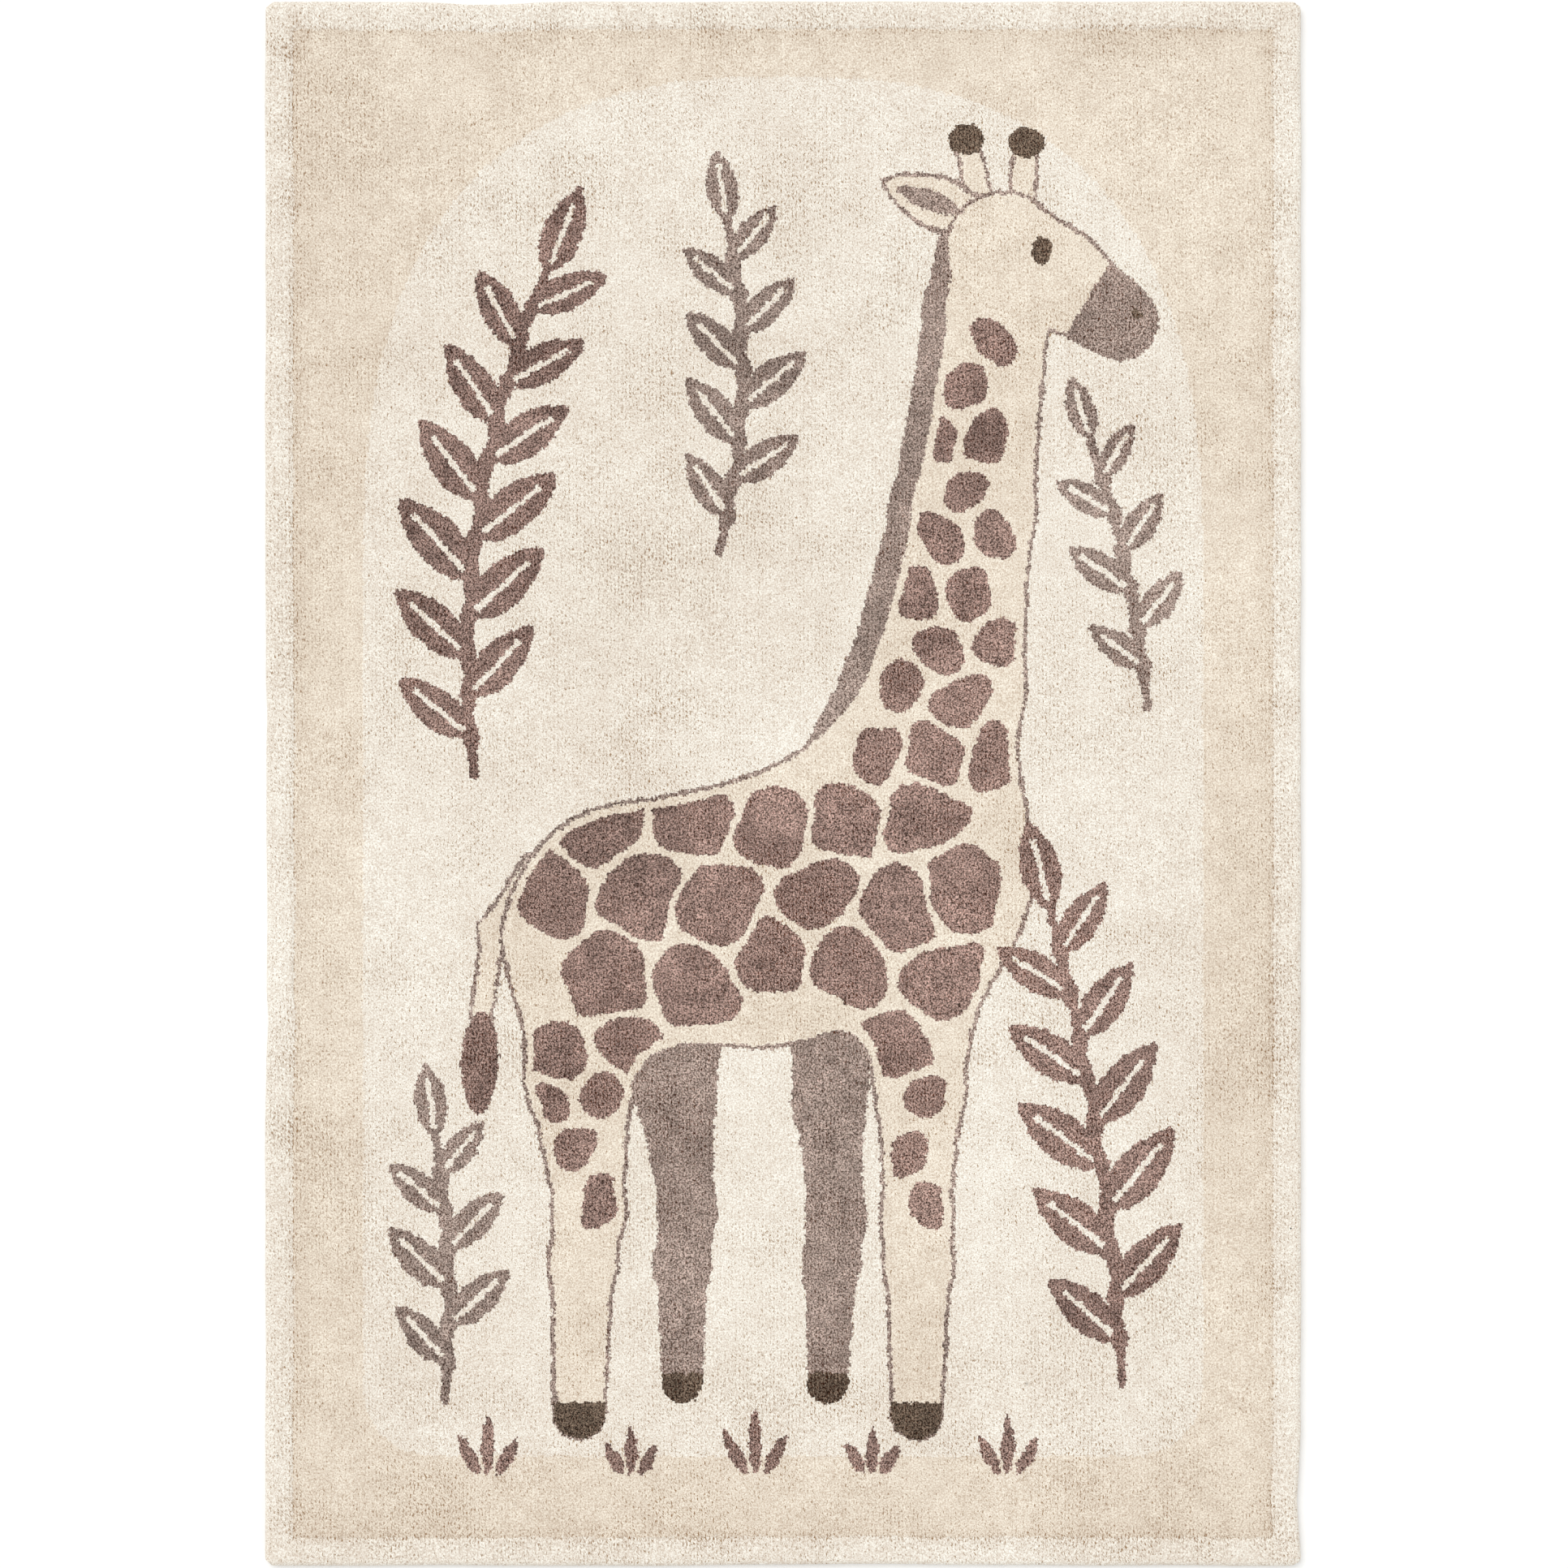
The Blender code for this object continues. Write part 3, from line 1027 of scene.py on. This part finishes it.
def woven_cotton(name, colour, root_colour_in_painted_shade):
    """Plain-woven unbleached cotton under a bed of wool roots in painted shade: threads
    over and under.
    """
    material = new_material(name)
    tree = material.node_tree
    in_space = add_node(tree, "ShaderNodeTexCoord")
    place = add_node(
        tree, "ShaderNodeSeparateXYZ", links={0: in_space.outputs["Object"]})
    wave = {}
    for way in "XY":
        turn = add_node(
            tree, "ShaderNodeMath", {"operation": "MULTIPLY"},
            values={1: math.pi / COTTON_THREAD}, links={0: place.outputs[way]})
        wave[way] = add_node(
            tree, "ShaderNodeMath", {"operation": "SINE"}, links={0: turn.outputs[0]})
    crossing = add_node(
        tree, "ShaderNodeMath", {"operation": "MULTIPLY"},
        links={0: wave["X"].outputs[0], 1: wave["Y"].outputs[0]})
    # Painted shade: the cloth is darker where its threads dip under.
    thread = add_node(
        tree, "ShaderNodeMapRange",
        values={"From Min": -1.0, "To Min": COTTON_SHADE, "To Max": 1.0},
        links={"Value": crossing.outputs[0]})
    cloth = add_node(
        tree, "ShaderNodeVectorMath", {"operation": "SCALE"},
        values={0: colour[:]}, links={"Scale": thread.outputs[0]})
    # Above the weave's top the backing shows the roots in painted shade.
    above = add_node(
        tree, "ShaderNodeMath", {"operation": "GREATER_THAN"},
        values={1: WEAVE_TOP}, links={0: place.outputs["Z"]})
    both = add_node(
        tree, "ShaderNodeMix", {"data_type": "RGBA"},
        values={B_COLOUR: (*root_colour_in_painted_shade, 1.0)},
        links={0: above.outputs[0], A_COLOUR: cloth.outputs[0]})
    relief = add_node(
        tree, "ShaderNodeBump", values={"Distance": COTTON_RELIEF},
        links={"Height": crossing.outputs[0]})
    finish_material(
        tree, both.outputs[COLOUR], relief.outputs[0], COTTON_ROUGHNESS, COTTON_SHEEN, colour)
    return material


def matt_paint(name, colour):
    """The studio floor: a broad roll of matt paper with a faint grain."""
    material = new_material(name)
    tree = material.node_tree
    in_space = add_node(tree, "ShaderNodeTexCoord")
    grain = add_node(
        tree, "ShaderNodeTexNoise", values={"Scale": 1 / PAPER_GRAIN},
        links={"Vector": in_space.outputs["Object"]})
    relief = add_node(
        tree, "ShaderNodeBump", values={"Distance": PAPER_RELIEF},
        links={"Height": grain.outputs[0]})
    shader = add_node(
        tree, "ShaderNodeBsdfPrincipled",
        values={"Base Color": (*colour, 1.0), "Roughness": 1.0, "Specular IOR Level": 0.0},
        links={"Normal": relief.outputs[0]})
    add_node(tree, "ShaderNodeOutputMaterial", links={"Surface": shader.outputs["BSDF"]})
    return material


# ---------------------------------------------------------------- operators

# The floor in metres, the camera's sensor in mm, and the broad light in degrees.
FLOOR_SIZE = 24.0
FLOOR_CELLS = 4
FLOOR_DROP = 0.0002
SENSOR_WIDTH = 36.0
KEY_BREADTH = 50
KEY_SLANT = -28
KEY_TURN = 35


class RUG_OT_lay_backing(bpy.types.Operator):
    """Lays the woven backing with the bed of roots, the solid's form drawn in"""

    bl_idname = "rug.lay_backing"
    bl_label = "Lay Backing"

    def execute(self, context):
        sizes = context.scene.rug_sizes
        colours = context.scene.rug_colours
        shape = bmesh.new()
        shape.from_mesh(SOLID.data)
        bmesh.ops.remove_doubles(shape, verts=shape.verts[:], dist=WELD)
        bmesh.ops.recalc_face_normals(shape, faces=shape.faces[:])
        shape.normal_update()
        for corner in shape.verts:
            if corner.co.z > WEAVE_TOP:
                corner.co -= corner.normal * sizes.root_depth
            else:
                out = corner.normal.xy
                corner.co.xy -= out * CLOTH_INSET / max(abs(out.x), abs(out.y))
        mesh = bpy.data.meshes.new("backing")
        shape.to_mesh(mesh)
        shape.free()
        # The roots are beige in painted shade.
        roots = [c * s for c, s in zip(colours.beige, PALE_PAINTED_SHADE)]
        cloth = woven_cotton("plain_woven_cotton", colours.cotton, roots)
        mesh.materials.append(cloth)
        backing = bpy.data.objects.new("backing", mesh)
        context.scene.collection.objects.link(backing)
        finish_piece(backing, "backing")
        return {"FINISHED"}


class RUG_OT_tuft_pile(bpy.types.Operator):
    """Tufts the border, the sides, the field in bands, and each yarn of the picture"""

    bl_idname = "rug.tuft_pile"
    bl_label = "Tuft Pile"

    def execute(self, context):
        mesh = make_skin(context.scene.rug_sizes)
        materials = {}
        for yarn, (colour, _, name, *look) in YARNS.items():
            dye = getattr(context.scene.rug_colours, colour)
            materials[yarn] = cut_wool(name, dye, *look)
        table = piece_table()
        for _, yarn in table:
            mesh.materials.append(materials[yarn])
        pieces = cut_apart(bpy.data.objects.new("skin", mesh))
        for number, (name, yarn) in enumerate(table):
            fit_map(pieces[number].data)
            finish_piece(pieces[number], name)
        return {"FINISHED"}


class RUG_OT_set_stage(bpy.types.Operator):
    """Sets the pale floor, the soft light and the camera straight above"""

    bl_idname = "rug.set_stage"
    bl_label = "Set Stage"

    def execute(self, context):
        stage = context.scene.rug_stage
        sizes = context.scene.rug_sizes
        shape = bmesh.new()
        bmesh.ops.create_grid(
            shape, x_segments=FLOOR_CELLS, y_segments=FLOOR_CELLS, size=FLOOR_SIZE / 2)
        bmesh.ops.translate(shape, verts=shape.verts[:], vec=(0, 0, -FLOOR_DROP))
        mesh = bpy.data.meshes.new("floor")
        shape.to_mesh(mesh)
        shape.free()
        mesh.materials.append(matt_paint("matt_studio_floor", stage.floor))
        floor = bpy.data.objects.new("floor", mesh)
        context.scene.collection.objects.link(floor)

        sky = bpy.data.worlds.new("studio")
        sky.use_nodes = True
        light = sky.node_tree.nodes["Background"]
        light.inputs["Color"].default_value = (1.0, 1.0, 1.0, 1.0)
        light.inputs["Strength"].default_value = stage.sky_strength
        context.scene.world = sky
        context.scene.view_settings.view_transform = "Standard"

        key = bpy.data.lights.new("key", "SUN")
        key.energy = stage.key_strength
        key.angle = math.radians(KEY_BREADTH)
        lamp = bpy.data.objects.new("key", key)
        lamp.rotation_euler = (math.radians(KEY_SLANT), 0, math.radians(KEY_TURN))
        context.scene.collection.objects.link(lamp)

        pixel = sizes.length / PHOTO_RUG_LENGTH
        view = bpy.data.cameras.new("camera")
        view.lens = stage.lens
        view.sensor_width = SENSOR_WIDTH
        seen = PHOTO_SIDE * pixel
        camera = bpy.data.objects.new("camera", view)
        camera.location = (
            (PHOTO_SIDE / 2 - PHOTO_RUG_MIDDLE[0]) * pixel,
            (PHOTO_RUG_MIDDLE[1] - PHOTO_SIDE / 2) * pixel,
            CAD_HIGH.z + seen * stage.lens / SENSOR_WIDTH)
        context.scene.collection.objects.link(camera)
        context.scene.camera = camera
        return {"FINISHED"}


class RUG_PT_panel(bpy.types.Panel):
    """The rug's settings and its steps"""

    bl_idname = "RUG_PT_panel"
    bl_label = "Tufted Picture Rug"
    bl_space_type = "VIEW_3D"
    bl_region_type = "UI"
    bl_category = "Rug"

    def draw(self, context):
        scene = context.scene
        for settings in (scene.rug_sizes, scene.rug_colours, scene.rug_stage):
            box = self.layout.box()
            for name in settings.__annotations__:
                box.prop(settings, name)
        for step in STEPS:
            self.layout.operator(step.bl_idname)


SETTINGS = {"rug_sizes": RugSizes, "rug_colours": RugColours, "rug_stage": RugStage}
STEPS = (RUG_OT_lay_backing, RUG_OT_tuft_pile, RUG_OT_set_stage)


def register():
    """Makes the settings, the steps and the panel known to Blender."""
    for item in (*SETTINGS.values(), *STEPS, RUG_PT_panel):
        bpy.utils.register_class(item)
    for name, kind in SETTINGS.items():
        setattr(bpy.types.Scene, name, PointerProperty(type=kind))


def unregister():
    """Takes them out again."""
    for name in SETTINGS:
        delattr(bpy.types.Scene, name)
    for item in (RUG_PT_panel, *reversed(STEPS), *reversed(SETTINGS.values())):
        bpy.utils.unregister_class(item)


def main():
    """Runs the steps."""
    register()
    bpy.ops.rug.lay_backing()
    bpy.ops.rug.tuft_pile()
    bpy.ops.rug.set_stage()


if __name__ == "__main__":
    main()
